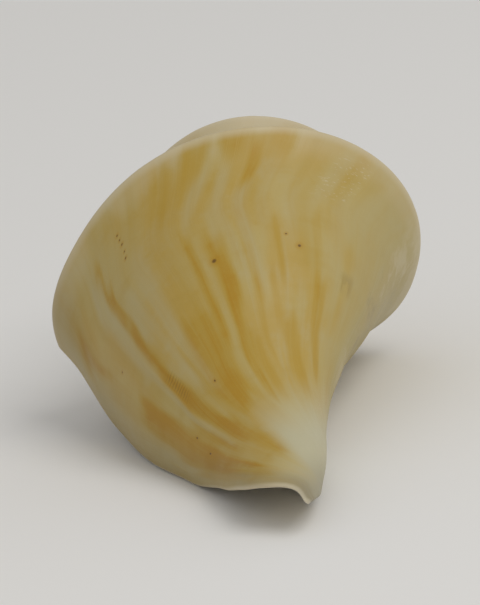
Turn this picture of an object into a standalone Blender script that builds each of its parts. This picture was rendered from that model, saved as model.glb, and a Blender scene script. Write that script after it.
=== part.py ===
"""A turrid shell of the wonder-shell kind, with sharply keeled whorls and an open canal.

The shell is one thin wall. Its growing edge, the outer lip, turned round a coiling axis,
grew by the same share every turn and slid down the axis, so the whole wall is one profile
swept along a helico-spiral. The model follows that growth: a profile of radius and height
is scaled and turned, step by step, from the first whorl to the lip.

In the growth frame Z runs down the coiling axis from the apex to the canal, the whorls turn
right-handed about it, the lip ends near +X and the aperture looks to +Y. At the end the
shell is laid on its aperture side, with the canal towards -Y and the spire towards +Y.
"""
import math

import bmesh
import bpy
import numpy as np
from mathutils import Matrix

MM = 0.001
TURN = 2.0 * math.pi

# Growth, lengths in millimetres
WIDTH_GROWTH = 1.50         # a whorl is this many times as wide as the one before it
HEIGHT_POWER = 1.05         # heights grow by this power of the width's growth
WHORLS = 7.5                # from the first whorl to the lip
HOLLOW_WHORLS = 1.8         # the part of the tube that stays open behind the lip

# The whorl's profile at the lip: radius from the axis, height from the apex
KEEL_RADIUS = 21.85
KEEL_HEIGHT = 34.7
SUTURE_HEIGHT = 28.0
RAMP_DIP = 0.6              # how far the ramp above the keel sags below a straight line
KEEL_EDGE = 0.7             # the width of the rounded edge on either side of the keel
KEEL_ROUNDING = 0.12
KEEL_SQUEEZE = 0.15         # the keel's edge on the inner face, as a share of that on the outer face

# Stations below the keel: distance down the axis, radius, and lag of the growth line in degrees
BASE_STATIONS = (
    (0.0, 21.85, -11.8),
    (3.5, 20.05, -8.5),
    (10.5, 17.6, 1.9),
    (19.3, 14.55, 2.5),
    (28.0, 10.3, 2.1),
    (36.8, 6.9, -11.5),
    (45.6, 5.5, -39.3),
    (49.0, 5.25, -52.9),
    (53.3, 4.8, -73.8),
    (59.5, 3.8, -113.8),
    (62.6, 3.3, -124.7),
    (63.6, 2.95, -137.0),
)
RAMP_LAGS = (-10.0, -27.0, -11.8)   # at the suture, in the notch at mid ramp, at the keel

# Rows of faces: shares of the ramp, and distances below the keel
RAMP_ROWS = (0.0, 0.3, 0.65)
BASE_ROWS = (3.0, 6.5, 10.0, 14.0, 19.3, 24.5, 30.5, 36.8, 42.0, 46.5, 50.5, 55.0, 59.0, 61.8, 63.1, 63.6)

# Departures from a perfect spiral
FLARE = 0.058               # the whorl swells by this share of its radius just behind the lip
FLARE_TIME = -0.17          # radians of growth behind the lip
FLARE_SPREAD = 0.34
# Hollows and swellings: share of the radius, radians behind the lip and their spread, distance
# below the keel and its spread
NECK_HOLLOW = (-0.19, -3.9, 0.65, 22.9, 10.8)
KEEL_FLANGE = (0.022, -4.1, 0.33, 0.0, 2.2)
UNDERCUT = (-0.037, -4.0, 0.48, 9.4, 4.0)
OLD_WHORL_SWELLING = (0.045, -8.0, 0.7)
CANAL_BEND_X = -2.9         # the canal's tip curves off the axis by this much
CANAL_BEND_Y = -5.5
CANAL_BEND_LENGTH = 42.9
CANAL_BEND_POWER = 2.06
SPIRE_LEAN_X = -0.8         # the apex leans off the axis by this much
SPIRE_LEAN_Y = -0.55
SPIRE_SINK = 2.0            # and the spire is this much lower than an even spiral

# The wall and what fills the middle
WALL = 1.0                  # at the last whorl, thinner in proportion on the older ones
LIP_WALL_SHARE = 0.5        # the lip is this share of the wall
LIP_THINNING = 0.2          # radians of growth over which it thins
SUTURE_OVERLAP = 0.25       # how deep a ramp's inner edge sits in the whorl before it
CORE_SLOPE = 0.01           # the filled whorls end this near the axis, for each length of axis
COLUMELLA_SLOPE = 0.031     # the columella's radius per length of axis
COLUMELLA_START = 1.0
COLUMELLA_TAPER = 59.0      # from here on it thins and moves over to the canal's inner side
COLUMELLA_END = 77.0
COLUMELLA_THINNING = 0.6
COLUMELLA_SHIFT = 1.7
COLUMELLA_SHIFT_TURN = math.radians(-190.0)
COLUMELLA_SIDES = 24
COLUMELLA_RINGS = 20
APEX_RADIUS = 0.75
APEX_SEGMENTS = 16
APEX_RINGS = 10

# Steps of growth
COLUMNS = 170
STEP_EVENNESS = 0.6         # 1 is equal steps, less is finer towards the lip

# How the shell lies on the lip, the keel and the canal's tip, in degrees
ROLL = -18.53
PITCH = 20.68

SHELL_COLOUR = (0.50, 0.36, 0.16, 1.0)
SHELL_ROUGHNESS = 0.35


def smooth_curve(places, values, at):
    """A cubic curve through the stations that never swings past them."""
    places = np.asarray(places, float)
    values = np.asarray(values, float)
    gaps = np.diff(places)
    slopes = np.diff(values) / gaps
    before, after = slopes[:-1], slopes[1:]
    same_way = before * after > 0
    safe = np.where(same_way, before * after, 1.0)
    middle = np.where(same_way, 2.0 * safe / np.where(same_way, before + after, 1.0), 0.0)
    tangents = np.concatenate([slopes[:1], middle, slopes[-1:]])
    at = np.clip(at, places[0], places[-1])
    i = np.clip(np.searchsorted(places, at, side="right") - 1, 0, len(gaps) - 1)
    t = (at - places[i]) / gaps[i]
    rise = values[i] * (1 + 2 * t) * (1 - t) ** 2 + values[i + 1] * t ** 2 * (3 - 2 * t)
    lean = tangents[i] * t * (1 - t) ** 2 - tangents[i + 1] * t ** 2 * (1 - t)
    return rise + lean * gaps[i]


def growth(turned):
    """How wide and how high the shell is, against the lip, at this angle of growth."""
    width = WIDTH_GROWTH ** (turned / TURN)
    return width, width ** HEIGHT_POWER


def base_radius(below):
    distances, radii, _ = zip(*BASE_STATIONS)
    return smooth_curve(distances, radii, below)


def suture_radius(height):
    """Where the whorl before this one has its wall, at this height of the profile."""
    width, tall = growth(TURN)
    return base_radius(height * tall - KEEL_HEIGHT) / width - SUTURE_OVERLAP


def outer_profile():
    """Radius, height and lag of the growth line, from the suture over the keel to the canal."""
    start = suture_radius(SUTURE_HEIGHT)
    reach = math.hypot(KEEL_RADIUS - start, KEEL_HEIGHT - SUTURE_HEIGHT)
    share = np.array(RAMP_ROWS + (1.0 - KEEL_EDGE / reach,))
    ramp_radius = start + (KEEL_RADIUS - start) * share
    ramp_height = SUTURE_HEIGHT + (KEEL_HEIGHT - SUTURE_HEIGHT) * share
    ramp_height = ramp_height + RAMP_DIP * np.sin(math.pi * share)
    ramp_lag = smooth_curve((0.0, 0.5, 1.0), RAMP_LAGS, share)
    below = np.array((0.0, KEEL_EDGE) + BASE_ROWS)
    distances, _, lags = zip(*BASE_STATIONS)
    radius = np.concatenate([ramp_radius, base_radius(below)])
    height = np.concatenate([ramp_height, KEEL_HEIGHT + below])
    lag = np.radians(np.concatenate([ramp_lag, smooth_curve(distances, lags, below)]))
    keel = len(share)
    radius[keel] -= KEEL_ROUNDING
    weight = np.concatenate([share, np.ones(len(below))])
    return radius, height, lag, weight, keel


def inner_profile(radius, height, keel):
    """The same rows, one wall thickness inside the tube."""
    along_r = np.gradient(radius)
    along_z = np.gradient(height)
    length = np.hypot(along_r, along_z)
    inside_r = radius - WALL * along_z / length
    inside_z = height + WALL * along_r / length
    ramp = np.array((along_r[keel - 2], along_z[keel - 2])) / length[keel - 2]
    base = np.array((along_r[keel + 2], along_z[keel + 2])) / length[keel + 2]
    ramp_normal = np.array((-ramp[1], ramp[0]))
    base_normal = np.array((-base[1], base[0]))
    mitre = WALL * (ramp_normal + base_normal) / (1.0 + ramp_normal @ base_normal)
    corner = np.array((radius[keel], height[keel])) + mitre
    squeeze = KEEL_SQUEEZE * KEEL_EDGE
    inside_r[keel - 1], inside_z[keel - 1] = corner - squeeze * ramp
    inside_r[keel], inside_z[keel] = corner
    inside_r[keel + 1], inside_z[keel + 1] = corner + squeeze * base
    inside_z[0] = SUTURE_HEIGHT + WALL / ramp[0]
    inside_r[0] = suture_radius(inside_z[0])
    return inside_r, inside_z


def bell(value, middle, spread):
    return np.exp(-((value - middle) / spread) ** 2)


def warped(x, y, z):
    """The canal curves, and the spire leans a little off the axis and is a little low."""
    bend = (np.clip(z - KEEL_HEIGHT, 0.0, None) / CANAL_BEND_LENGTH) ** CANAL_BEND_POWER
    lean = np.clip(1.0 - z / KEEL_HEIGHT, 0.0, None)
    x = x + CANAL_BEND_X * bend + SPIRE_LEAN_X * lean
    y = y + CANAL_BEND_Y * bend + SPIRE_LEAN_Y * lean
    return np.stack([x, y, z + SPIRE_SINK * lean ** 2], axis=-1)


def swept(radius, height, lag, weight, times):
    """The profile carried along the growth: one column of points for every time of growth."""
    times = times[:, None]
    turned = times + lag
    width, tall = growth(turned)
    r = radius * width * (1.0 + FLARE * weight * bell(times, FLARE_TIME, FLARE_SPREAD))
    for share, middle, spread, below, reach in (NECK_HOLLOW, KEEL_FLANGE, UNDERCUT):
        r = r * (1.0 + share * bell(turned, middle, spread) * bell(height - KEEL_HEIGHT, below, reach))
    share, middle, spread = OLD_WHORL_SWELLING
    r = r * (1.0 + share * weight * bell(turned, middle, spread))
    return warped(r * np.cos(turned), r * np.sin(turned), height * tall)


def new_object(name, mesh, collection):
    thing = bpy.data.objects.new(name, mesh)
    collection.objects.link(thing)
    return thing


def wall_mesh():
    """The wall as a closed sheet: outer face, inner face and the strip that joins their edges."""
    radius, height, lag, weight, keel = outer_profile()
    inside_r, inside_z = inner_profile(radius, height, keel)
    share = np.linspace(1.0, 0.0, COLUMNS)
    back = STEP_EVENNESS * share + (1.0 - STEP_EVENNESS) * share ** 2
    times = -WHORLS * TURN * back
    outside = swept(radius, height, lag, weight, times)
    thin = 1.0 - (1.0 - LIP_WALL_SHARE) * np.exp(times / LIP_THINNING)[:, None]
    inside = swept(radius + (inside_r - radius) * thin, height + (inside_z - height) * thin,
                   lag, weight, times)
    # The oldest whorls are filled to the axis
    middle = swept(CORE_SLOPE * height, height, lag, weight, times)
    solid = times < -HOLLOW_WHORLS * TURN
    inside[solid] = middle[solid]
    columns, rows = outside.shape[:2]
    count = columns * rows
    index = np.arange(count).reshape(columns, rows)

    def quads(grid):
        return np.stack([grid[:-1, :-1], grid[1:, :-1], grid[1:, 1:], grid[:-1, 1:]], axis=-1).reshape(-1, 4)

    def strip(near, far):
        return quads(np.stack([near, far], axis=1))

    inner = index + count
    faces = np.concatenate([
        quads(index),
        quads(inner)[:, ::-1],
        strip(inner[:, 0], index[:, 0]),
        strip(index[:, -1], inner[:, -1]),
        strip(index[0], inner[0]),
        strip(inner[-1], index[-1]),
    ])
    mesh = bpy.data.meshes.new("wall")
    points = np.concatenate([outside.reshape(-1, 3), inside.reshape(-1, 3)]) * MM
    mesh.from_pydata(points.tolist(), [], faces.tolist())
    return mesh


def columella_mesh():
    """A slender cone along the axis that bends with the canal and runs out along its side."""
    heights = np.linspace(COLUMELLA_START, COLUMELLA_END, COLUMELLA_RINGS)[:, None]
    taper = np.clip((heights - COLUMELLA_TAPER) / (COLUMELLA_END - COLUMELLA_TAPER), 0.0, 1.0)
    radii = COLUMELLA_SLOPE * heights * (1.0 - COLUMELLA_THINNING * taper ** 2)
    shift = COLUMELLA_SHIFT * taper ** 2 * (3.0 - 2.0 * taper)
    around = np.linspace(0.0, TURN, COLUMELLA_SIDES, endpoint=False)
    ring = warped(radii * np.cos(around) + shift * math.cos(COLUMELLA_SHIFT_TURN),
                  radii * np.sin(around) + shift * math.sin(COLUMELLA_SHIFT_TURN),
                  heights + np.zeros(COLUMELLA_SIDES))
    mesh = bpy.data.meshes.new("columella")
    form = bmesh.new()
    rings = [[form.verts.new(point * MM) for point in row] for row in ring]
    for low, high in zip(rings, rings[1:]):
        for i in range(COLUMELLA_SIDES):
            j = (i + 1) % COLUMELLA_SIDES
            form.faces.new((low[i], low[j], high[j], high[i]))
    form.faces.new(rings[0][::-1])
    form.faces.new(rings[-1])
    form.to_mesh(mesh)
    form.free()
    return mesh


def apex_mesh():
    """The first whorl, a small rounded bead at the tip of the spire."""
    _, tall = growth(-WHORLS * TURN)
    height = KEEL_HEIGHT * tall
    place = warped(np.array(0.0), np.array(0.0), np.array(height))
    mesh = bpy.data.meshes.new("apex")
    form = bmesh.new()
    bmesh.ops.create_uvsphere(form, u_segments=APEX_SEGMENTS, v_segments=APEX_RINGS,
                              radius=APEX_RADIUS * MM, matrix=Matrix.Translation(place * MM))
    form.to_mesh(mesh)
    form.free()
    return mesh


def laid_down(meshes):
    """Turns the growth frame onto the aperture side, with the origin under the middle."""
    flip = Matrix(((-1, 0, 0, 0), (0, 0, -1, 0), (0, -1, 0, 0), (0, 0, 0, 1)))
    roll = Matrix.Rotation(math.radians(ROLL), 4, "Y")
    pitch = Matrix.Rotation(math.radians(PITCH), 4, "X")
    turned = pitch @ roll @ flip
    points = np.array([turned @ vertex.co for mesh in meshes for vertex in mesh.vertices])
    low, high = points.min(axis=0), points.max(axis=0)
    middle = (low + high) / 2.0
    return Matrix.Translation((-middle[0], -middle[1], -low[2])) @ turned


def join(thing, other):
    union = thing.modifiers.new("join " + other.name, "BOOLEAN")
    union.operation = "UNION"
    union.solver = "EXACT"
    union.use_self = True
    union.object = other


def shell_material():
    material = bpy.data.materials.new("shell")
    material.use_nodes = True
    surface = material.node_tree.nodes["Principled BSDF"]
    surface.inputs["Base Color"].default_value = SHELL_COLOUR
    surface.inputs["Roughness"].default_value = SHELL_ROUGHNESS
    surface.inputs["Metallic"].default_value = 0.0
    return material


def main():
    for thing in list(bpy.data.objects):
        bpy.data.objects.remove(thing, do_unlink=True)
    parts = bpy.data.collections.new("turrid shell")
    tools = bpy.data.collections.new("joined pieces")
    bpy.context.scene.collection.children.link(parts)
    bpy.context.scene.collection.children.link(tools)
    shell = new_object("turrid_shell", wall_mesh(), parts)
    shell.data.materials.append(shell_material())
    shell.data.shade_smooth()
    columella, apex = columella_mesh(), apex_mesh()
    shell.matrix_world = laid_down((shell.data, columella, apex))
    for name, mesh in (("columella", columella), ("apex", apex)):
        other = new_object(name, mesh, tools)
        other.hide_render = True
        other.display_type = "WIRE"
        other.matrix_world = shell.matrix_world
        join(shell, other)


main()
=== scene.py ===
# %% [markdown]
# # A turrid shell with stepped, keeled whorls
#
# A snail builds its shell at one edge only, the outer lip. The lip turns round a coiling axis, grows by
# the same share every turn and slides down the axis, so every shape here is one profile carried along
# that growth. Lengths are in millimetres in the growth frame, where Z runs down the axis from the apex
# to the canal, and become metres when a finished sheet of points is laid down on the floor.

# %% Load the frame
import math

import bmesh
import bpy
import numpy as np
from mathutils import Matrix, Vector


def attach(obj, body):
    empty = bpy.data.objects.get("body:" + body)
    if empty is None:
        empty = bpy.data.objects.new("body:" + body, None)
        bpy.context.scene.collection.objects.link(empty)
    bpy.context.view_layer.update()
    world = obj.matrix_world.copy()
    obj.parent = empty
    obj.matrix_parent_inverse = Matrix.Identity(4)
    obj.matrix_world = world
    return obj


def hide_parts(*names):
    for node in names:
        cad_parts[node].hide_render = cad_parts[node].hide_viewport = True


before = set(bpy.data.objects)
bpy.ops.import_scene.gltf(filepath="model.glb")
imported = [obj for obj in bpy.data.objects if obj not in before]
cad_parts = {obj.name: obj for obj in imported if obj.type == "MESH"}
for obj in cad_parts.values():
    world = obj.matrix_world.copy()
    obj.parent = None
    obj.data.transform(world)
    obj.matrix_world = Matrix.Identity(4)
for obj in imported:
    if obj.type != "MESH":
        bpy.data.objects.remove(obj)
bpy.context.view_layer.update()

NODE = "turrid_shell"
TURN = 2.0 * math.pi
MM = 0.001
rng = np.random.default_rng(7)

# %% [markdown]
# ## The law of growth
#
# On the real shell each whorl is half as wide again as the one before it. A spiral like that is a power
# of the angle turned: one line of numpy gives the size of the animal at any moment. The heights grow by
# a slightly higher power, which draws the spire out into its steps.

# %% Growth
WIDTH_GROWTH = 1.50
HEIGHT_POWER = 1.05
WHORLS = 7.5
KEEL_RADIUS = 21.85


def smooth_curve(places, values, at):
    """A cubic through the stations whose slope at each is the harmonic mean of its two neighbours' slopes,
    or nothing where they differ in sign, so that the curve never swings past a station."""
    places = np.asarray(places, float)
    values = np.asarray(values, float)
    gaps = np.diff(places)
    slopes = np.diff(values) / gaps
    before, after = slopes[:-1], slopes[1:]
    same_way = before * after > 0
    safe = np.where(same_way, before * after, 1.0)
    middle = np.where(same_way, 2.0 * safe / np.where(same_way, before + after, 1.0), 0.0)
    tangents = np.concatenate([slopes[:1], middle, slopes[-1:]])
    at = np.clip(at, places[0], places[-1])
    i = np.clip(np.searchsorted(places, at, side="right") - 1, 0, len(gaps) - 1)
    t = (at - places[i]) / gaps[i]
    rise = values[i] * (1 + 2 * t) * (1 - t) ** 2 + values[i + 1] * t ** 2 * (3 - 2 * t)
    lean = tangents[i] * t * (1 - t) ** 2 - tangents[i + 1] * t ** 2 * (1 - t)
    return rise + lean * gaps[i]


def growth(turned):
    """Width is the growth to the power of the turns made, and height is the width to a power."""
    width = WIDTH_GROWTH ** (turned / TURN)
    return width, width ** HEIGHT_POWER


def bell(x, middle=0.0, spread=1.0):
    """One at the middle, falling off to both sides: e to the power of minus the squared distance."""
    return np.exp(-np.square((x - middle) / spread))


def step(low, high, x):
    """Nought below low, one above high, and an S between them."""
    t = np.clip((x - low) / (high - low), 0.0, 1.0)
    return t * t * (3.0 - 2.0 * t)


print("whorl widths in mm:", np.round(2 * KEEL_RADIUS * growth(-TURN * np.arange(6.0))[0], 1))

# %% [markdown]
# ## The profile of a whorl
#
# A cut through the newest whorl shows a sloping ramp, a sharp keel, a long cone below it and a narrow
# canal. It could be drawn as a Bezier curve, but here it is a curve through a few measured stations,
# because the same numbers also say where every growth line lies: the lag is how far a growth line stays
# behind the keel's, and the deep lag at mid ramp is the notch through which used water left the shell.
# The keel is a corner first. Averaging the curve with itself over a short stretch rounds it off, as the
# real keel is, and the thin raised rim along it is added on top.

# %% Profile
KEEL_HEIGHT, SUTURE_HEIGHT = 34.7, 28.0
RAMP_DIP = 0.6
SUTURE_OVERLAP = 0.25
RAMP_LAGS = (-10.0, -27.0, -11.8)
# Distance below the keel along the axis, radius, lag of the growth line in degrees
BASE_STATIONS = (
    (0.0, KEEL_RADIUS, -11.8), (3.5, 20.05, -8.5), (10.5, 17.6, 1.9), (19.3, 14.55, 2.5),
    (28.0, 10.3, 2.1), (36.8, 6.9, -11.5), (45.6, 5.5, -39.3), (49.0, 5.25, -52.9),
    (53.3, 4.8, -73.8), (59.5, 3.8, -113.8), (62.6, 3.3, -124.7), (63.6, 2.95, -137.0),
)
DISTANCES, RADII, LAGS = (np.array(column) for column in zip(*BASE_STATIONS))
WALL = 1.0
KEEL_SOFTNESS = 0.30
NORMAL_SOFTNESS = 1.1
PROFILE_STEP = 0.04
RAMP_SAMPLES, BASE_SAMPLES = 400, 2400


def suture_radius(height):
    """Where the whorl before has its wall: its profile, smaller by one turn of growth."""
    width, tall = growth(TURN)
    return smooth_curve(DISTANCES, RADII, height * tall - KEEL_HEIGHT) / width - SUTURE_OVERLAP


def averaged(values, spread):
    """Each value becomes the bell-weighted mean of its neighbours along the profile. Past the ends the
    curve is taken to run on straight, so that the ends stay where they are."""
    reach = int(4 * spread / PROFILE_STEP)
    weights = bell(np.arange(-reach, reach + 1) * PROFILE_STEP / spread)
    ahead = np.arange(reach, 0, -1)
    first = values[0] - (values[1] - values[0]) * ahead
    last = values[-1] + (values[-1] - values[-2]) * ahead[::-1]
    return np.convolve(np.concatenate([first, values, last]), weights / weights.sum(), mode="valid")


def profile():
    """Columns along the profile at equal steps: distance below the keel, radius, height, lag, share of the
    flare, outward normal, the normal that the inner face is set back along, and length from the keel."""
    start = suture_radius(SUTURE_HEIGHT)
    share = np.linspace(0.0, 1.0, RAMP_SAMPLES)
    ramp = np.stack([
        start + (KEEL_RADIUS - start) * share,
        SUTURE_HEIGHT + (KEEL_HEIGHT - SUTURE_HEIGHT) * share + RAMP_DIP * np.sin(math.pi * share),
        smooth_curve((0.0, 0.5, 1.0), RAMP_LAGS, share),
        share,
        -(1.0 - share) * math.hypot(KEEL_RADIUS - start, KEEL_HEIGHT - SUTURE_HEIGHT)])
    below = np.linspace(0.0, DISTANCES[-1], BASE_SAMPLES)[1:]
    base = np.stack([smooth_curve(DISTANCES, RADII, below), KEEL_HEIGHT + below,
                     smooth_curve(DISTANCES, LAGS, below), np.ones(len(below)), below])
    line = np.concatenate([ramp, base], axis=1)
    along = np.concatenate([[0.0], np.cumsum(np.hypot(*np.diff(line[:2], axis=1)))])
    even = np.arange(0.0, along[-1], PROFILE_STEP)
    line = np.stack([np.interp(even, along, row) for row in line])
    soft = np.stack([averaged(row, KEEL_SOFTNESS) for row in line[:3]])
    radius, height, lag = soft
    tangent = np.gradient(soft[:2], axis=1)
    normal = np.stack([tangent[1], -tangent[0]]) / np.hypot(*tangent)
    set_back = np.stack([averaged(row, NORMAL_SOFTNESS) for row in normal])
    set_back = set_back / np.hypot(*set_back)
    return dict(below=line[4], radius=radius, height=height, lag=np.radians(lag), weight=line[3],
                normal=normal, set_back=set_back, along=even - even[np.argmin(np.abs(line[4]))])


PROFILE = profile()
print("profile:", len(PROFILE["below"]), "steps, ramp", round(float(-PROFILE["along"][0]), 2),
      "mm, base", round(float(PROFILE["along"][-1]), 2), "mm long")

# %% [markdown]
# ## From growth to the floor
#
# A wall swept by the growth alone would be a perfect spiral. The real shell flares just behind its lip,
# is hollowed at the neck, and its canal bends off the axis. These are soft bell-shaped departures, all
# applied to whole arrays at once. Then the shell is turned onto its aperture, where it lies by itself on
# the keel, the outer lip and the side of the neck.

# %% Sweep, warp and lay down
FLARE, FLARE_TIME, FLARE_SPREAD = 0.058, -0.17, 0.34
# Share of the radius, middle and spread in radians behind the lip, middle and spread in mm below the keel
NECK_HOLLOW = (-0.19, -3.9, 0.65, 22.9, 10.8)
KEEL_FLANGE = (0.022, -4.1, 0.33, 0.0, 2.2)
UNDERCUT = (-0.037, -4.0, 0.48, 9.4, 4.0)
OLD_WHORL_SWELLING = (0.045, -8.0, 0.7)
CANAL_BEND, CANAL_BEND_LENGTH, CANAL_BEND_POWER = (-2.9, -5.5), 42.9, 2.06
SPIRE_LEAN, SPIRE_SINK = (-0.8, -0.55), 2.0
# The turn that lays the shell on its aperture, and where the growth frame's origin comes to lie, in mm
ROLL, PITCH = math.radians(-18.53), math.radians(20.68)
SET_DOWN = (2.445, 42.414, 23.435)


def warped(x, y, z):
    """The canal bends by a power of the distance below the keel. The spire leans, and sinks by the square
    of its share of the height."""
    bend = (np.clip(z - KEEL_HEIGHT, 0.0, None) / CANAL_BEND_LENGTH) ** CANAL_BEND_POWER
    lean = np.clip(1.0 - z / KEEL_HEIGHT, 0.0, None)
    x = x + CANAL_BEND[0] * bend + SPIRE_LEAN[0] * lean
    y = y + CANAL_BEND[1] * bend + SPIRE_LEAN[1] * lean
    return np.stack([x, y, z + SPIRE_SINK * lean ** 2], axis=-1)


def swept(radius, height, lag, weight, times):
    """A point of the profile, grown and turned: the radius times its growth and the departures at the
    angle of time plus lag, and the height times its own growth."""
    turned = times + lag
    width, tall = growth(turned)
    r = radius * width * (1.0 + FLARE * weight * bell(times, FLARE_TIME, FLARE_SPREAD))
    for share, middle, spread, below, reach in (NECK_HOLLOW, KEEL_FLANGE, UNDERCUT):
        r = r * (1.0 + share * bell(turned, middle, spread) * bell(height - KEEL_HEIGHT, below, reach))
    share, middle, spread = OLD_WHORL_SWELLING
    r = r * (1.0 + share * weight * bell(turned, middle, spread))
    return warped(r * np.cos(turned), r * np.sin(turned), height * tall)


def turning():
    """The turn that lays the shell down: upside down, rolled about Y, then pitched about X."""
    flip = np.array([[-1.0, 0, 0], [0, 0, -1.0], [0, -1.0, 0]])
    c, s = math.cos(ROLL), math.sin(ROLL)
    roll = np.array([[c, 0, s], [0, 1.0, 0], [-s, 0, c]])
    c, s = math.cos(PITCH), math.sin(PITCH)
    pitch = np.array([[1.0, 0, 0], [0, c, -s], [0, s, c]])
    return pitch @ roll @ flip


TURNING = turning()


def laid_down(points):
    """Turns points of the growth frame, in millimetres, into metres on the floor."""
    return (points @ TURNING.T + np.array(SET_DOWN)) * MM


lip_keel = laid_down(swept(KEEL_RADIUS, KEEL_HEIGHT, np.radians(LAGS[0]), 1.0, 0.0))
print("lip at the keel lies at", np.round(lip_keel * 1000, 1), "mm")

# %% [markdown]
# ## Growth ridges
#
# Growth is never even. Pauses leave fine ridges and furrows along the growth lines, some of them faint,
# a few strong, and one just behind the edge of the lip. Displacement in the material would show them,
# but not in the mesh itself, so they move the points of the outer face along the
# profile's normal: a sum of narrow bells in growth time, whose strength drifts slowly along each ridge.

# %% Relief of the outer face
RIDGES = 64
RIDGE_TIMES = np.sort(rng.uniform(-640.0, -12.0, RIDGES))
RIDGE_WIDTHS = rng.uniform(1.3, 4.5, RIDGES)
RIDGE_HEIGHTS = rng.normal(0.0, 0.030, RIDGES)
RIDGE_PHASES = rng.uniform(0.0, TURN, RIDGES)
WAVES = 10
WAVE_TIMES = rng.uniform(0.02, 0.09, WAVES)
WAVE_BELOWS = rng.uniform(-0.16, 0.16, WAVES)
WAVE_PHASES = rng.uniform(0.0, TURN, WAVES)
WAVE_HEIGHT = 0.016
# Height, place and half-width of three single ridges: along a growth line, behind the lip, on the keel
CREASE_HEIGHT, CREASE_TIME, CREASE_WIDTH = 0.08, -36.0, 1.6
LIP_RIDGE_HEIGHT, LIP_RIDGE_ARC, LIP_RIDGE_WIDTH = 0.12, 1.5, 0.28
KEEL_RIM_HEIGHT, KEEL_RIM_WIDTH = 0.07, 0.75
SLANT_STATIONS, SLANTS = (0.0, 3.0, 20.0, 26.0, 37.0, 64.0), (0.0, 0.0, 7.5, 8.0, 2.0, 0.0)


def slant(below):
    """How many degrees a growth line lies behind its place on an even spiral, at mm below the keel."""
    return smooth_curve(SLANT_STATIONS, SLANTS, below)


def relief(degrees, below, arc):
    """Height of the outer face over the even wall in mm: the sum of ridges, slow waves and the three single
    ridges, each a bell. Degrees are growth time, and arc is the distance back from the lip."""
    lined_up = degrees + slant(below)
    total = np.zeros(np.broadcast(degrees, below).shape)
    for time, width, high, phase in zip(RIDGE_TIMES, RIDGE_WIDTHS, RIDGE_HEIGHTS, RIDGE_PHASES):
        drift = 0.55 + 0.45 * np.sin(0.16 * below + phase)
        total += high * drift * bell(lined_up - 0.9 * np.sin(0.11 * below + phase), time, width)
    for a, b, phase in zip(WAVE_TIMES, WAVE_BELOWS, WAVE_PHASES):
        total += WAVE_HEIGHT * np.sin(a * degrees + b * below + phase)
    crease = step(2.0, 8.0, below) * step(36.0, 26.0, below) * bell(lined_up, CREASE_TIME, CREASE_WIDTH)
    lip_ridge = step(24.0, 30.0, below) * step(52.0, 44.0, below) * bell(arc, LIP_RIDGE_ARC, LIP_RIDGE_WIDTH)
    total += CREASE_HEIGHT * crease + LIP_RIDGE_HEIGHT * lip_ridge
    total += KEEL_RIM_HEIGHT * bell(below, 0.0, KEEL_RIM_WIDTH)
    return total * step(0.0, 0.5, arc)


sample = relief(np.linspace(-630, 0, 900)[:, None], np.linspace(-10, 60, 80)[None, :], 9.0)
print("relief from", round(float(sample.min()), 3), "to", round(float(sample.max()), 3), "mm")

# %% [markdown]
# ## Where the colours lie
#
# The ochre streaks of the real shell lie along its growth lines and fade out at both ends, and pale
# bands run between them. A painted picture would only fit one view. Here each streak is a line in growth
# time and distance below the keel, with a half-width and a strength. The share of ochre or white that it
# leaves is kept on the points as an attribute for the material. Older whorls get streaks at random.

# %% Streaks
# Time in degrees and mm below the keel at the upper end, the same at the lower end, half-width, strength
OCHRE_STREAKS = (
    (-96, 0, -97, 2.8, 5.5, 0.70), (-84, 0, -83, 3.6, 5.0, 0.65), (-81, 4, -80, 8, 2.4, 0.20),
    (-75, 1, -75, 7, 2.6, 0.45), (-77, 3, -78, 20, 11.0, 0.35), (-91, 5, -92, 11, 3.4, 0.30),
    (-139, 11, -143, 23, 2.3, 0.35), (-144, 21, -147, 35, 4.0, 0.60),
    (-122, 13, -124, 22, 2.2, 0.60), (-118, 20, -121, 28, 2.2, 0.55), (-127, 26, -130, 39, 6.0, 0.60),
    (-104, 0, -110, 14, 2.6, 0.75), (-100, 8, -105, 17, 1.5, 0.55), (-111, 20, -112, 31, 2.2, 0.50),
    (-95, 13, -99, 24, 4.4, 0.85), (-99, 20, -94, 37, 3.6, 0.75), (-104, 27, -103, 39, 5.0, 0.55),
    (-85, 10, -89, 26, 2.0, 0.70), (-78, 21, -75, 36, 12.0, 0.75), (-60, 27, -61, 35, 6.0, 0.35),
    (-37, 4, -44, 10, 1.9, 0.70), (-45, 8, -47, 14, 2.6, 0.90), (-48, 15, -48, 21, 3.0, 0.90),
    (-48, 21, -47, 28, 4.2, 0.95), (-49, 26, -49, 39, 5.4, 1.00), (-53, 35, -55, 49, 8.0, 0.75),
    (-40, 38, -36, 50, 11.0, 0.40), (-27, 21, -26, 36, 7.0, 0.95), (-22, 22, -20, 42, 7.0, 0.60),
    (-78, 24, -72, 35, 9.0, 0.45), (-25, 30, -25, 47, 4.0, 1.00), (-25, 25, -23, 42, 9.0, 0.70),
    (-19, 27, -17, 44, 6.0, 0.60), (-66, 23, -64, 31, 5.0, 0.50), (-109, 14, -112, 22, 2.6, 0.55),
    (-37, 29, -37, 40, 4.0, 0.75), (-15, 5, -24, 13, 3.0, 0.85), (-112, 0, -113, 3.5, 4.5, 0.60),
    (-45, 1, -45, 5, 8.0, 0.25), (-178, 3, -178, 11, 3.0, 0.30), (-172, 13, -171, 23, 3.4, 0.25),
    (-17, 42, -17, 53, 7.0, 0.45), (-2, 46, -2, 52, 2.0, 0.80), (-33, 12, -34, 22, 5.0, 0.35),
    (-160, 22, -161, 34, 7.0, 0.22), (-118, 32, -119, 41, 7.0, 0.35), (-55, 2, -56, 9, 5.0, 0.25),
)
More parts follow.
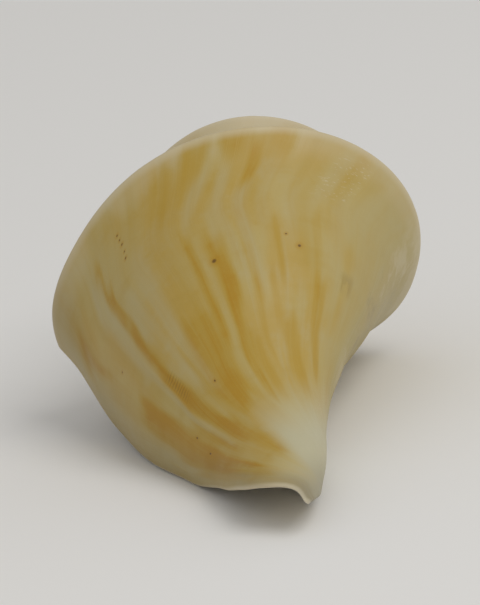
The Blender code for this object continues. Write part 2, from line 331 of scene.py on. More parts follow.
PALE_STREAKS = (
    (-106, 6, -113, 20, 2.6, 0.75), (-95, 4, -107, 18, 2.4, 0.60), (-87, 4, -88, 9, 3.2, 0.60),
    (-97, 9, -98, 14, 2.8, 0.50), (-34, 3, -41, 11, 2.6, 0.85), (-41, 10, -44, 21, 3.4, 0.80),
    (-44, 20, -41, 32, 1.9, 0.60), (-41, 31, -39, 39, 2.0, 0.50), (-63, 8, -67, 25, 3.6, 0.60),
    (-58, 23, -60, 28, 3.6, 0.55), (-67, 25, -68, 29, 2.6, 0.45), (-12, 8, -8, 26, 8.0, 0.90),
    (-11, 24, -11, 32, 2.2, 0.85), (-5, 29, -5, 55, 3.0, 0.55), (-5, 0, -6, 7, 6.5, 0.60),
    (-75, 45, -77, 51, 7.0, 0.55), (-184, 11, -184, 25, 2.0, 0.50), (-181, 24, -178, 31, 2.2, 0.50),
    (-160, 3, -160, 12, 6.0, 0.50), (-150, 7, -152, 21, 5.0, 0.40), (-136, 3, -139, 10, 3.4, 0.45),
    (-126, 7, -129, 16, 3.0, 0.35), (-30, 51, -12, 57, 6.0, 0.45), (-54, 10, -55, 18, 2.8, 0.40),
    (-168, 0, -168, 24, 6.0, 0.45), (-133, 20, -136, 27, 2.6, 0.35), (-113, 4, -118, 14, 2.4, 0.30),
)


OLDEST, LISTED_FROM = -2700.0, -225.0
STRONGEST_OCHRE, STRONGEST_PALE = 0.65, 0.5
END_SOFTNESS, LOWER_FADE = 1.5, 2.5
EDGE_OUT, EDGE_IN = 1.5, 0.3


def older_streaks(count, strongest):
    """Random streaks for the growth that the lists above don't describe."""
    start = rng.uniform(OLDEST, LISTED_FROM, count)
    top = rng.uniform(-9.0, 12.0, count)
    length = rng.uniform(6.0, 26.0, count)
    return np.stack([start, top, start + rng.uniform(-2, 5, count), top + length,
                     rng.uniform(1.4, 5.5, count), rng.uniform(0.15, strongest, count)], axis=1)


def wandered(degrees, below):
    """The place moved a little by slow sine waves, which makes the edges of the marks wander."""
    aside = 0.3 * np.sin(0.34 * below + 0.05 * degrees) + 0.15 * np.sin(0.9 * below + 0.23 * degrees + 1.0)
    down = 0.9 * np.sin(0.26 * degrees + 0.1 * below) + 0.6 * np.sin(0.63 * degrees + 2.0)
    return degrees + aside, below + down


def streaks(marks, degrees, below):
    """The marks laid over each other: a soft-edged plateau across the line, an S at either end of it, and
    each mark covers its share of what the others leave."""
    degrees, below = wandered(degrees, below)
    left = np.ones(np.broadcast(degrees, below).shape)
    for time_a, below_a, time_b, below_b, half_width, strength in marks:
        line = time_a + (time_b - time_a) * (below - below_a) / (below_b - below_a)
        upper = step(below_a - END_SOFTNESS, below_a + END_SOFTNESS, below)
        lower = step(below_b + LOWER_FADE, below_b - END_SOFTNESS, below)
        across = step(EDGE_OUT, EDGE_IN, np.abs(degrees - line) / half_width)
        left *= 1.0 - strength * upper * lower * across
    return 1.0 - left


OCHRE_MARKS = np.concatenate([OCHRE_STREAKS, older_streaks(150, STRONGEST_OCHRE)])
PALE_MARKS = np.concatenate([PALE_STREAKS, older_streaks(110, STRONGEST_PALE)])
print(len(OCHRE_MARKS), "ochre and", len(PALE_MARKS), "pale streaks")

# %% [markdown]
# ## Sheets of points into closed pieces
#
# A shell wall is a sheet with two faces. Solidify could thicken it, but the real wall thins towards the
# lip and towards the older whorls, so both faces are computed, and strips of faces close the edges. Near
# the lip and along the canal's edge the two faces draw together on a quarter circle, which rounds them.

# %% Building a closed sheet
def quads(grid):
    """The four corners of every cell of a grid of point numbers."""
    return np.stack([grid[:-1, :-1], grid[1:, :-1], grid[1:, 1:], grid[:-1, 1:]], axis=-1).reshape(-1, 4)


def strip(near, far):
    """The faces between two rows of point numbers."""
    return quads(np.stack([near, far], axis=1))


def closed_sheet(outside, inside):
    """Points and faces of two grids joined along all four edges."""
    columns, rows = outside.shape[:2]
    index = np.arange(columns * rows).reshape(columns, rows)
    inner = index + columns * rows
    faces = np.concatenate([
        quads(index), quads(inner)[:, ::-1], strip(inner[:, 0], index[:, 0]),
        strip(index[:, -1], inner[:, -1]), strip(index[0], inner[0]), strip(inner[-1], index[-1])])
    return np.concatenate([outside.reshape(-1, 3), inside.reshape(-1, 3)]), faces.tolist()


def make_piece(name, points, faces, sharp=None, **values):
    """A smooth mesh object of growth-frame points, with one value per point for every attribute."""
    mesh = bpy.data.meshes.new(name)
    mesh.from_pydata(laid_down(points), [], faces)
    for key, value in values.items():
        kind, slot = ("FLOAT_VECTOR", "vector") if np.ndim(value) == 2 else ("FLOAT", "value")
        attribute = mesh.attributes.new(key, kind, "POINT")
        attribute.data.foreach_set(slot, np.asarray(value, np.float32).ravel())
    mesh.shade_smooth()
    if sharp:
        mesh.set_sharp_from_angle(angle=math.radians(sharp))
    piece = bpy.data.objects.new(name, mesh)
    bpy.context.scene.collection.objects.link(piece)
    form = bmesh.new()
    form.from_mesh(mesh)
    volume = form.calc_volume(signed=True) * 1e6
    form.free()
    size = np.ptp(laid_down(points), axis=0) * 1000
    print(f"{name}: {len(points)} points, {sum(len(f) - 2 for f in faces)} triangles,",
          "x".join(f"{v:.1f}" for v in size), f"mm, {volume:.2f} cm3")
    return piece


# %% [markdown]
# ## The body whorl
#
# The newest turn and three quarters, with the aperture, the flared lip and the canal. It could be one
# long sheet with the spire, but it is the piece that the photograph shows, so it has the finest grid:
# about one column of points a degree, closer at the lip, and rows that crowd at the keel, where the
# surface bends most.

# %% Body whorl
SEAM = -630.0
LIP_ROUNDING, CANAL_ROUNDING, EDGE = 0.32, 0.35, 0.16
LIP_WALL_SHARE, LIP_THINNING = 0.5, 0.2
LIP_GLAZE = 0.55


def rows_at(along):
    """Reads the profile at these distances along it."""
    table = PROFILE
    names = ("below", "radius", "height", "lag", "weight")
    read = {name: np.interp(along, table["along"], table[name]) for name in names}
    for name in ("normal", "set_back"):
        read[name] = np.stack([np.interp(along, table["along"], row) for row in table[name]])
    return read


def rounding(distance, radius):
    """A quarter circle: nought at an edge and one a radius away from it."""
    left = 1.0 - np.clip(distance / radius, 0.0, 1.0)
    return np.sqrt(1.0 - left * left)


ramp_end, base_end = PROFILE["along"][0], PROFILE["along"][-1]
ROWS = np.concatenate([
    np.linspace(ramp_end, -1.4, 12, endpoint=False), np.linspace(-1.4, 1.4, 17, endpoint=False),
    np.linspace(1.4, 12.0, 14, endpoint=False), np.linspace(12.0, base_end - 3.0, 36, endpoint=False),
    base_end - np.array([3.0, 2.2, 1.5, 1.0, 0.6, 0.3, 0.1, 0.0])])
TIMES = np.concatenate([
    np.linspace(SEAM, -385.0, 100, endpoint=False), np.linspace(-385.0, -8.0, 350, endpoint=False),
    np.linspace(-8.0, -1.4, 12, endpoint=False), [-1.4, -1.0, -0.7, -0.45, -0.25, -0.1, 0.0]])


def wall(times, along):
    """Both faces of the wall and the values that the material reads, on a grid of time and profile. The
    outer face is the profile plus the relief, the inner one the profile set back by the wall."""
    row = rows_at(along)
    degrees = times[:, None]
    time = np.radians(degrees)
    arc = -time * np.maximum(row["radius"], 3.0)
    high = relief(degrees, row["below"], arc)
    thickness = WALL * (1.0 - (1.0 - LIP_WALL_SHARE) * np.exp(time / LIP_THINNING))
    full = np.maximum(rounding(arc, LIP_ROUNDING) * rounding(base_end - along, CANAL_ROUNDING), EDGE)
    rise = high - thickness * (1.0 - full) / 2.0
    fall = -thickness * (1.0 + full) / 2.0
    outside = swept(row["radius"] + rise * row["normal"][0], row["height"] + rise * row["normal"][1],
                    row["lag"], row["weight"], time)
    inner_r = row["radius"] + fall * row["set_back"][0]
    inner_z = row["height"] + fall * row["set_back"][1]
    inner_z[:, 0] = SUTURE_HEIGHT + 1.2 * WALL
    inner_r[:, 0] = suture_radius(inner_z[:, 0])
    inside = swept(inner_r, inner_z, row["lag"], row["weight"], time)
    below = row["below"] + np.zeros_like(arc)
    # The newest whorl lays its glaze over the wall that it covers, which was built a turn before it
    covered = step(-358.0, -364.0, np.degrees(time + row["lag"])) * step(7.8, 8.8, below)
    glaze = np.maximum(covered, LIP_GLAZE * step(0.5, 0.0, arc))
    place = np.stack([degrees + np.zeros_like(arc), below, degrees + slant(below)], axis=-1)
    ochre = streaks(OCHRE_MARKS, degrees, below) * step(-0.1, 0.8, arc)
    pale = streaks(PALE_MARKS, degrees, below)
    plain = np.zeros(arc.size)
    values = dict(growth=np.concatenate([place.reshape(-1, 3)] * 2),
                  ochre=np.concatenate([ochre.ravel(), plain]),
                  pale=np.concatenate([pale.ravel(), plain]),
                  glaze=np.concatenate([glaze.ravel(), plain + 1.0]))
    return outside, inside, values


outside, inside, values = wall(TIMES, ROWS)
points, faces = closed_sheet(outside, inside)
body_whorl = make_piece("body_whorl", points, faces, sharp=60, **values)

# %% [markdown]
# ## The spire
#
# Nearly six older whorls rise above the body whorl like the roofs of a pagoda. The tube could go on to
# the apex as on the real shell, but only the ramps, keels and a narrow band below them show. So the sheet
# stops a little under the next suture and its inner face runs to the axis. It meets the body whorl at one
# growth line with the same rows of points.

# %% Spire
SPIRE_BAND = 9.8
SPIRE_CORE = 0.01
spire_rows = ROWS[ROWS < SPIRE_BAND]
spire_times = np.concatenate([np.linspace(-WHORLS * 360.0, -1350.0, 190, endpoint=False),
                              np.linspace(-1350.0, SEAM, 330)])
outside, inside, values = wall(spire_times, spire_rows)
row = rows_at(spire_rows)
inside = swept(SPIRE_CORE * row["height"], row["height"], row["lag"], row["weight"],
               np.radians(spire_times)[:, None])
points, faces = closed_sheet(outside, inside)
spire = make_piece("spire", points, faces, sharp=60, **values)

# %% [markdown]
# ## The columella
#
# Inside the aperture a smooth white pillar follows the axis and runs out along the canal: the columella,
# around which the whole shell is wound. A cone would do for its core. This one thins, bends with the
# canal and carries the soft spiral fold that the animal's muscle leaves on it.

# %% Columella
COLUMELLA_SLOPE, COLUMELLA_THINNING, COLUMELLA_SHIFT = 0.031, 0.6, 1.7
COLUMELLA_START, COLUMELLA_TAPER, COLUMELLA_END = 1.0, 59.0, 77.0
COLUMELLA_SHIFT_TURN = math.radians(-190.0)
ROUND_END, FOLD_HEIGHT, FOLD_TWIST = 0.01, 0.05, 0.09


def turned_body(rings, sides, shape):
    """Points and faces of a closed body: shape gives a point for every share of its length and every
    angle round it, and both ends are closed with a fan."""
    share = np.linspace(0.0, 1.0, rings)[:, None]
    angle = np.linspace(0.0, TURN, sides, endpoint=False)[None, :]
    body = shape(share, angle)
    index = np.arange(rings * sides).reshape(rings, sides)
    index = np.concatenate([index, index[:, :1]], axis=1)
    faces = quads(index)[:, ::-1].tolist()
    low, high = rings * sides, rings * sides + 1
    faces += [(low, b, a) for a, b in zip(index[0], index[0][1:])]
    faces += [(high, a, b) for a, b in zip(index[-1], index[-1][1:])]
    ends = np.stack([body[0].mean(axis=0), body[-1].mean(axis=0)])
    return np.concatenate([body.reshape(-1, 3), ends]), faces


def columella_shape(share, angle):
    """A cone along the axis: its radius is a slope times the height, thinned and shifted to the canal's
    inner side towards the end, with a low fold that winds once round it."""
    height = COLUMELLA_START + (COLUMELLA_END - COLUMELLA_START) * share
    taper = np.clip((height - COLUMELLA_TAPER) / (COLUMELLA_END - COLUMELLA_TAPER), 0.0, 1.0)
    end = np.sqrt(np.clip((1.0 - share) / ROUND_END, 0.0, 1.0))
    radius = COLUMELLA_SLOPE * height * (1.0 - COLUMELLA_THINNING * taper ** 2) * end
    radius = radius * (1.0 + FOLD_HEIGHT * np.cos(angle - FOLD_TWIST * height))
    shift = COLUMELLA_SHIFT * taper ** 2 * (3.0 - 2.0 * taper)
    return warped(radius * np.cos(angle) + shift * math.cos(COLUMELLA_SHIFT_TURN),
                  radius * np.sin(angle) + shift * math.sin(COLUMELLA_SHIFT_TURN), height + 0.0 * angle)


NEUTRAL_TIME, NOISE_STRETCH = -300.0, 9.0


def plain_values(points, glaze):
    """The material's values for a piece without streaks: its height stands for the distance below the
    keel, and its X, stretched, for the growth time that the noises read."""
    zero = np.zeros(len(points))
    place = np.stack([zero + NEUTRAL_TIME, points[:, 2], points[:, 0] * NOISE_STRETCH], axis=1)
    return dict(growth=place, ochre=zero, pale=zero, glaze=zero + glaze)


points, faces = turned_body(150, 48, columella_shape)
columella = make_piece("columella", points, faces, **plain_values(points, 1.0))

# %% [markdown]
# ## The first whorl
#
# At the other end the shell starts with the tiny rounded bulb that the snail hatched with. A plain ball
# would close the spire as well, but a shallow groove that winds once round it shows the first half whorl.

# %% First whorl
APEX_RADIUS = 0.75
GROOVE_DEPTH, GROOVE_WIDTH = 0.10, 0.07


def bulb_shape(share, angle):
    """A ball whose radius dips by a tenth along one spiral groove, as a bulb of half a whorl does."""
    polar = math.pi * np.clip(share, 0.001, 0.999)
    groove = bell(share, 0.25 + 0.5 * ((angle / TURN + 0.2) % 1.0), GROOVE_WIDTH)
    radius = APEX_RADIUS * (1.0 - GROOVE_DEPTH * groove * np.sin(polar))
    top = KEEL_HEIGHT * growth(-WHORLS * TURN)[1]
    return warped(radius * np.sin(polar) * np.cos(angle), radius * np.sin(polar) * np.sin(angle),
                  top - radius * np.cos(polar))


points, faces = turned_body(40, 48, bulb_shape)
first_whorl = make_piece("first_whorl", points, faces, **plain_values(points, 0.25))

# %% [markdown]
# ## A helper for nodes
#
# A material in Blender is a tree of nodes. It could be clicked together by hand, but written down it can
# be read like a formula. The class adds a node and gives back its output, so that calls can be nested.

# %% Nodes
def linear(red, green, blue):
    """A colour from 0 to 255, as a screen shows it, made linear for the renderer."""
    c = np.array([red, green, blue]) / 255.0
    c = np.where(c <= 0.04045, c / 12.92, ((c + 0.055) / 1.055) ** 2.4)
    return (*(float(v) for v in c), 1.0)


class Nodes:
    """Adds nodes to a material's tree. A number goes on the socket, and a node's output is linked."""

    def __init__(self, material):
        self.tree = material.node_tree

    def fill(self, socket, value):
        """Links an output to the socket, or sets the socket to a number or colour."""
        if isinstance(value, bpy.types.NodeSocket):
            self.tree.links.new(value, socket)
        else:
            socket.default_value = value

    def add(self, kind, inputs=None, **settings):
        """A new node, with its settings first, because they decide which inputs it has."""
        node = self.tree.nodes.new(kind)
        for key, value in settings.items():
            setattr(node, key, value)
        for key, value in (inputs or {}).items():
            self.fill(node.inputs[key], value)
        return node

    def math(self, operation, a, b=0.0, c=0.0, clamp=False):
        return self.add("ShaderNodeMath", {0: a, 1: b, 2: c}, operation=operation, use_clamp=clamp).outputs[0]

    def times(self, a, b):
        return self.math("MULTIPLY", a, b)

    def ramp(self, value, low, high, to_low=0.0, to_high=1.0):
        """The value carried from one range to another along an S."""
        node = self.add("ShaderNodeMapRange", {"Value": value, "From Min": low, "From Max": high,
                                               "To Min": to_low, "To Max": to_high},
                        interpolation_type="SMOOTHSTEP")
        return node.outputs["Result"]

    def mix(self, share, a, b):
        """The colour a with this share of b. Sockets 0, 6 and 7 are the share and the two colours."""
        return self.add("ShaderNodeMix", {0: share, 6: a, 7: b}, data_type="RGBA").outputs[2]

    def value(self, name):
        """A number that was written on the points."""
        return self.add("ShaderNodeAttribute", attribute_name=name).outputs["Fac"]


print("linear mid grey:", round(linear(128, 128, 128)[0], 3))

# %% [markdown]
# ## What the material reads
#
# The ochre of the real shell follows its growth lines, whichever way they run. Noise in plain space would
# cut across them. So the noises here read growth time and the distance below the keel: they change fast
# from one growth line to the next and slowly along it. Only the cloudy mottling is noise in space.

# %% Growth values and noises
class ShellNodes(Nodes):
    """A tree with the values that were written on the points and the noises made from them."""

    def __init__(self, material):
        super().__init__(material)
        place = self.add("ShaderNodeAttribute", attribute_name="growth").outputs["Vector"]
        self.time, self.below, self.lined_up = self.add("ShaderNodeSeparateXYZ", {0: place}).outputs
        self.patches = self.streaky(0.050, 0.085, 2.0, 3.1)
        self.bands = self.streaky(0.14, 0.045, 1.0, 8.7)
        self.lines = self.streaky(0.45, 0.060, 2.0, 1.4)
        self.spiral = self.streaky(0.05, 0.45, 2.0, 5.2)
        where = self.add("ShaderNodeTexCoord").outputs["Object"]
        self.cloud = self.add("ShaderNodeTexNoise", {"Vector": where, "Scale": 190.0, "Detail": 5.0,
                                                     "Roughness": 0.62}).outputs["Fac"]
        self.mottled = self.math("ADD", self.times(self.lines, 0.4), self.times(self.cloud, 0.6))
        self.ochre, self.pale, self.glaze = (self.value(name) for name in ("ochre", "pale", "glaze"))
        self.bare = self.ramp(self.glaze, 0.4, 0.2)

    def streaky(self, across, along, detail, seed):
        """Noise at across times the growth time and along times the distance below the keel."""
        where = self.add("ShaderNodeCombineXYZ", {0: self.times(self.lined_up, across),
                                                  1: self.times(self.below, along), 2: seed}).outputs[0]
        return self.add("ShaderNodeTexNoise", {"Vector": where, "Scale": 1.0, "Detail": detail,
                                               "Roughness": 0.5}).outputs["Fac"]

    def patch(self, time_from, time_to, below_from, below_to):
        """1 in the middle of a patch of the outer surface, 0 outside it."""
        along = self.times(self.ramp(self.time, time_from, time_from + 4.0),
                           self.ramp(self.time, time_to, time_to - 4.0))
        down = self.times(self.ramp(self.below, below_from, below_from + 1.5),
                          self.ramp(self.below, below_to, below_to - 1.5))
        return self.times(self.times(along, down), self.bare)


shell_surface = bpy.data.materials.new("shell surface")
shell_surface.use_nodes = True
shell = ShellNodes(shell_surface)
print("growth values and noises:", len(shell.tree.nodes), "nodes")

# %% [markdown]
# ## Cream, tan and ochre
#
# A shell of this kind is cream with tan and ochre streaks. They could be one colour ramp over one noise,
# but the bands, clouds and fine lines of the real shell don't follow each other. So each layer is mixed
# over the colour so far, and the streaks that were placed on the points come last, with ragged edges.

# %% Ground and streaks
CREAM = linear(181, 160, 97)
WARM_CREAM = linear(181, 153, 79)
TAN = linear(173, 144, 62)
OCHRE = linear(175, 141, 46)
DEEP_OCHRE = linear(171, 126, 16)
PALE = linear(180, 165, 118)


def ground(n):
    """Cream with bands, spiral bands, clouds and fine lines, each let in by a ramp over its noise."""
    colour = n.mix(n.ramp(n.patches, 0.38, 0.62), CREAM, WARM_CREAM)
    for noise, low, high, share, over in (
            (n.bands, 0.48, 0.75, 0.35, TAN), (n.bands, 0.44, 0.28, 0.35, PALE),
            (n.spiral, 0.50, 0.75, 0.30, TAN), (n.cloud, 0.48, 0.72, 0.50, PALE),
            (n.cloud, 0.44, 0.28, 0.35, OCHRE), (n.lines, 0.52, 0.80, 0.18, OCHRE)):
        colour = n.mix(n.ramp(noise, low, high, 0.0, share), colour, over)
    return colour


def streaked(n, colour):
    """The ochre and pale shares on the points, made uneven by the mottling."""
    edged = n.times(n.ochre, n.ramp(n.mottled, 0.36, 0.60, 0.8, 1.15))
    colour = n.mix(n.ramp(edged, 0.0, 0.85, 0.0, 0.85), colour, OCHRE)
    colour = n.mix(n.ramp(edged, 0.60, 1.10, 0.0, 0.75), colour, DEEP_OCHRE)
    whitened = n.math("MULTIPLY", n.pale, n.ramp(n.mottled, 0.36, 0.60, 0.95, 0.60), clamp=True)
    return n.mix(whitened, colour, PALE)


colour = streaked(shell, ground(shell))
print("ground and streaks:", len(shell.tree.nodes), "nodes")

# %% [markdown]
# ## Painted shade and highlight, pale and glazed parts
#
# The side that was built half a turn ago turns away from the light and is greyed as painted shade. The neck
# is white and greys towards the tip as painted shade, the ramp and the older whorls are paler, the keel
# carries a pale band that is partly a painted highlight, and the newest growth is darkened as painted shade.
# Inside, the animal covers all of it with a smooth white glaze. Each of these is a region in growth time and
# distance below the keel, so a ramp over one of the two, or a product of two ramps, says where it lies, and
# no mask has to be painted.

# %% Regions
# Greyer colour, painted shade for the side that turns away from the light
SIDE_SHADE = linear(167, 153, 98)
WHITE_NECK = linear(188, 182, 150)
# Grey painted as shade at the canal's tip
TIP_SHADE = linear(152, 145, 119)
# Pale colour of worn places, and along the keel also a painted highlight
RIM = linear(205, 193, 164)
GLAZE = linear(222, 212, 186)
# Dark brown of stains and the scar, and also painted shade by the lip
STAIN_AND_SHADE = linear(112, 90, 34)


def shaded_and_mottled_side(n, colour):
    """Growth of half a turn ago, on the right of the picture, is greyed as painted shade where it turns away
    from the light, and mottled further on.
    """
    newer_than_a_turn = n.ramp(n.time, -330.0, -250.0)
    # Painted shade: the far side is greyed where it turns away from the light
    side_shade = n.times(n.ramp(n.time, -140.0, -192.0, 0.0, 0.65), newer_than_a_turn)
    colour = n.mix(side_shade, colour, SIDE_SHADE)
    far_side = n.times(n.ramp(n.time, -172.0, -196.0), newer_than_a_turn)
    colour = n.mix(n.times(far_side, n.ramp(n.cloud, 0.50, 0.64, 0.0, 0.40)), colour, RIM)
    return n.mix(n.times(far_side, n.ramp(n.cloud, 0.46, 0.34, 0.0, 0.35)), colour, STAIN_AND_SHADE)


def white_neck_and_tip_shade(n, colour):
    """The canal and neck turn white, further down on the newest growth, and grey towards the tip as painted
    shade.
    """
    distance = n.math("SUBTRACT", n.below, n.ramp(n.time, -76.0, -44.0, 0.8, 15.0))
    # Painted shade: the white greys towards the tip
    neck = n.mix(n.ramp(n.below, 50.0, 63.0), WHITE_NECK, TIP_SHADE)
    return n.mix(n.ramp(distance, 33.0, 47.0, 0.0, 0.92), colour, neck)


def pale_highlight_shade_and_glaze(n, colour):
    """Paler older whorls and ramp, a keel band that is pale rim and painted highlight, the newest growth
    darkened as painted shade, and the glaze inside.
    """
    colour = n.mix(n.ramp(n.time, -380.0, -430.0, 0.0, 0.6), colour, RIM)
    colour = n.mix(n.ramp(n.below, 0.0, -2.5, 0.0, 0.7), colour, RIM)
    # Painted highlight, partly the rim's own pale colour: the strip just under the keel is paler where it has
    # little ochre
    edge = n.times(n.ramp(n.below, 4.5, 1.0), n.ramp(n.below, -0.5, 0.0))
    colour = n.mix(n.times(edge, n.math("SUBTRACT", 0.25, n.ochre, clamp=True)), colour, RIM)
    # Painted highlight along the keel, partly the pale colour of its raised rim
    rim = n.times(n.ramp(n.below, -1.6, -0.3), n.ramp(n.below, 1.3, 0.1))
    colour = n.mix(n.times(rim, 0.6), colour, RIM)
    # Painted shade: the newest growth darkens towards the lip
    colour = n.mix(n.ramp(n.time, -32.0, -10.0, 0.0, 0.30), colour, STAIN_AND_SHADE)
    return n.mix(n.glaze, colour, GLAZE)


colour = pale_highlight_shade_and_glaze(shell, white_neck_and_tip_shade(shell, shaded_and_mottled_side(shell, colour)))
print("regions:", len(shell.tree.nodes), "nodes")

# %% [markdown]
# ## Pits, scuffs and scars
#
# The real shell has a few small pits, and places that are scuffed or have healed. They could be painted
# on a picture, but that would need the shell unrolled. The pits are round, so each is a distance from one
# spot, with a stained halo round it. The scuffs, a grey scar and a healed nick are patches with a fine
# pattern inside. All of them are too small to be worth points of the mesh.

# %% Small marks
SPECK = linear(74, 44, 16)
MM_PER_DEGREE = 0.27
# Growth time in degrees, mm below the keel, radius in mm
PITS = ((-132.1, 16.5, 0.17), (-94.1, 16.3, 0.22), (-68.7, 29.4, 0.13), (-31.9, 30.8, 0.13),
        (-25.0, 34.0, 0.17), (-126.0, 14.8, 0.09), (-31.2, 15.3, 0.08), (-57.0, 7.4, 0.09),
        (-56.2, 6.6, 0.07), (-54.6, 5.6, 0.09), (-53.2, 4.9, 0.07), (-52.0, 4.2, 0.08))
# Growth time from and to, mm below the keel from and to
WORN_PATCH = (-152.0, -131.0, 1.0, 9.0)
SCAR_PATCH = (-167.0, -154.0, 18.0, 22.0)
NICK_PATCH = (-53.5, -44.0, 22.5, 28.0)


def pitted(n, colour):
    """The colour with pits and halos, and the share of a pit at each place: the distance from its middle
    in mm is the root of the two squared distances along the growth and down the profile."""
    pits = halo = 0.0
    for at_time, at_below, radius in PITS:
        across = n.times(n.math("SUBTRACT", n.time, at_time), MM_PER_DEGREE)
        down = n.math("SUBTRACT", n.below, at_below)
        off = n.math("SQRT", n.math("MULTIPLY_ADD", across, across, n.times(down, down)))
        pits = n.math("MAXIMUM", n.ramp(off, radius * 1.7, radius * 0.5), pits)
        halo = n.math("MAXIMUM", n.ramp(off, radius * 5.0, radius), halo)
    pits = n.times(pits, n.bare)
    colour = n.mix(n.times(n.times(halo, n.bare), 0.45), colour, DEEP_OCHRE)
    return n.mix(n.times(pits, 0.75), colour, SPECK), pits


def scarred(n, colour):
    """Short pale scuffs along the spiral, a small grey scar, and a nick crossed by fine dark lines."""
    scuffs = n.ramp(n.streaky(0.55, 5.5, 1.0, 9.3), 0.62, 0.70)
    colour = n.mix(n.times(n.times(scuffs, n.patch(*WORN_PATCH)), 0.4), colour, RIM)
    scar = n.times(n.ramp(n.mottled, 0.44, 0.54), n.patch(*SCAR_PATCH))
    colour = n.mix(n.times(scar, 0.22), colour, STAIN_AND_SHADE)
    combed = n.math("SINE", n.math("MULTIPLY_ADD", n.below, 15.0, n.times(n.cloud, 22.0)))
    combed = n.times(n.ramp(combed, -0.2, 0.9), n.patch(*NICK_PATCH))
    return n.mix(n.times(combed, 0.25), colour, SPECK)


colour, pits = pitted(shell, colour)
colour = scarred(shell, colour)
print("small marks:", len(PITS), "pits,", len(shell.tree.nodes), "nodes")

# %% [markdown]
# ## Surface
#
# The outer surface is satin and finely lined, the glaze is smooth and shinier. The large relief is in the
# mesh already. What is left, lines of a few hundredths of a millimetre, is a bump that only bends the
# light. The roughness could be one number, but the cloudy noise makes the shine as patchy as on the shell.

# %% Surface
BUMP_HEIGHT = 0.00003
OUTER_ROUGHNESS, GLAZE_SMOOTHING = (0.36, 0.46), 0.16


def surface(n, colour, pits):
    """Links the colour, the roughness and the bump: fine growth lines less the pits."""
    shader = n.tree.nodes["Principled BSDF"]
    height = n.math("MULTIPLY_ADD", n.streaky(2.2, 0.08, 2.0, 6.6), 0.4, n.times(n.lines, 0.6))
    height = n.times(height, n.ramp(n.glaze, 0.0, 1.0, 1.0, 0.12))
    height = n.math("SUBTRACT", height, pits)
    bump = n.add("ShaderNodeBump", {"Height": height, "Strength": 1.0, "Distance": BUMP_HEIGHT})
    shine = n.ramp(n.cloud, 0.3, 0.7, *OUTER_ROUGHNESS)
    n.fill(shader.inputs["Base Color"], colour)
    n.fill(shader.inputs["Roughness"], n.math("SUBTRACT", shine, n.times(n.glaze, GLAZE_SMOOTHING)))
    n.fill(shader.inputs["Normal"], bump.outputs["Normal"])
    shader.inputs["Specular IOR Level"].default_value = 0.32


surface(shell, colour, pits)
for piece in (body_whorl, spire, columella, first_whorl):
    piece.data.materials.append(shell_surface)
    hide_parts(NODE)
    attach(piece, "root")
print("shell material:", len(shell.tree.nodes), "nodes")

# %% [markdown]
# ## Floor and light
#
# The shell stands for itself on a pale floor, as on a museum's photo table. Several lamps could model it,
# but the photograph has soft light from the upper right and little else. So there is one large lamp on
# that side, and an even white sky fills the shadows.

# %% Floor and light
FLOOR = linear(236, 234, 230)
FLOOR_REACH = 6.0
KEY_PLACE, KEY_SIZE, KEY_POWER = (0.44, -0.38, 0.66), 0.5, 2.8
SHELL_MIDDLE = (0.0, 0.0, 0.015)
SKY_STRENGTH = 0.52


def floor():
    """One matt square around the origin, at the height that the shell rests on."""
    reach = FLOOR_REACH
    mesh = bpy.data.meshes.new("floor")
    corners = [(-reach, -reach, 0.0), (reach, -reach, 0.0), (reach, reach, 0.0), (-reach, reach, 0.0)]
    mesh.from_pydata(corners, [], [(0, 1, 2, 3)])
    material = bpy.data.materials.new("floor")
    material.use_nodes = True
    shader = material.node_tree.nodes["Principled BSDF"]
    shader.inputs["Base Color"].default_value = FLOOR
    shader.inputs["Roughness"].default_value = 0.9
    mesh.materials.append(material)
    thing = bpy.data.objects.new("floor", mesh)
    bpy.context.scene.collection.objects.link(thing)


def lamp(name, place, size, power):
    """A square soft light that faces the shell."""
    light = bpy.data.lights.new(name, "AREA")
    light.size, light.energy = size, power
    thing = bpy.data.objects.new(name, light)
    thing.location = place
    thing.rotation_euler = (Vector(SHELL_MIDDLE) - Vector(place)).to_track_quat("-Z", "Y").to_euler()
    bpy.context.scene.collection.objects.link(thing)


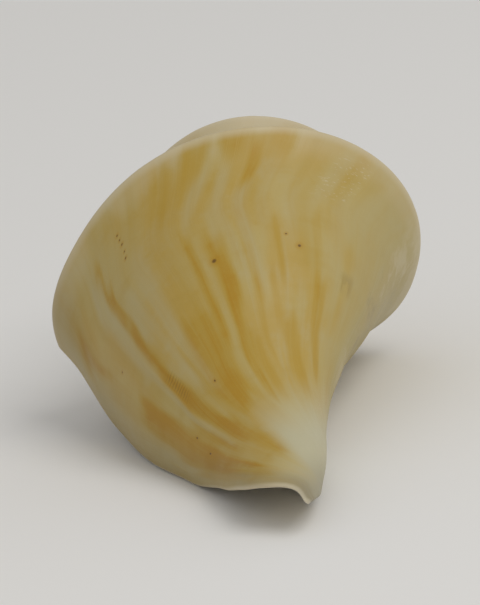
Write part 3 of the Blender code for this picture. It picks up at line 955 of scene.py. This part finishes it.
floor()
lamp("key", KEY_PLACE, KEY_SIZE, KEY_POWER)
world = bpy.data.worlds.new("studio")
world.use_nodes = True
sky = world.node_tree.nodes["Background"]
sky.inputs["Color"].default_value = (1.0, 1.0, 1.0, 1.0)
sky.inputs["Strength"].default_value = SKY_STRENGTH
bpy.context.scene.world = world
bpy.context.scene.view_settings.view_transform = "Standard"
print("key light", round(math.dist(KEY_PLACE, SHELL_MIDDLE), 2), "m from the shell")

# %% [markdown]
# ## Camera
#
# The camera could be placed by eye. This one is the camera that the growth model was fitted with, written
# in the growth frame and turned with the shell, so the picture shows the same side at the same size.

# %% Camera
CAMERA_TILT, CAMERA_YAW, CAMERA_ROLL = (math.radians(v) for v in (36.33, 21.19, 6.61))
LOOK_AT_HEIGHT = 38.16
SHIFT_RIGHT, SHIFT_UP = -2.71, 1.66
CAMERA_DISTANCE = 683.5
FRAME_HEIGHT = 63.95
SENSOR = 36.0


def about_z(angle):
    """The turn about Z by an angle, as a matrix."""
    s, c = math.sin(angle), math.cos(angle)
    return np.array([[c, -s, 0.0], [s, c, 0.0], [0.0, 0.0, 1.0]])


def camera_axes():
    """Right, up and back of the camera in the growth frame: tilted from the axis, turned about the axis
    by the yaw, and rolled about the line of sight."""
    s, c = math.sin(CAMERA_TILT), math.cos(CAMERA_TILT)
    back, up = np.array([0.0, -s, c]), np.array([0.0, -c, -s])
    return about_z(CAMERA_ROLL) @ np.stack([np.cross(up, back), up, back]) @ about_z(CAMERA_YAW)


right, up, back = camera_axes()
aim = np.array([0.0, 0.0, LOOK_AT_HEIGHT]) + SHIFT_RIGHT * right + SHIFT_UP * up
eye = laid_down(aim + CAMERA_DISTANCE * back)
lens = bpy.data.cameras.new("camera")
lens.sensor_width = SENSOR
lens.lens = SENSOR * CAMERA_DISTANCE / FRAME_HEIGHT
lens.clip_start, lens.clip_end = 0.01, 20.0
camera = bpy.data.objects.new("camera", lens)
bpy.context.scene.collection.objects.link(camera)
axes = np.stack([right, up, back]) @ TURNING.T
camera.matrix_world = Matrix([[*axes[:, i], eye[i]] for i in range(3)] + [[0.0, 0.0, 0.0, 1.0]])
bpy.context.scene.camera = camera
print("camera at", np.round(eye * 1000, 1), "mm, lens", round(lens.lens, 1), "mm")

# %% [markdown]
# ## Update
#
# The view layer is brought up to date.

# %% Update
bpy.context.view_layer.update()
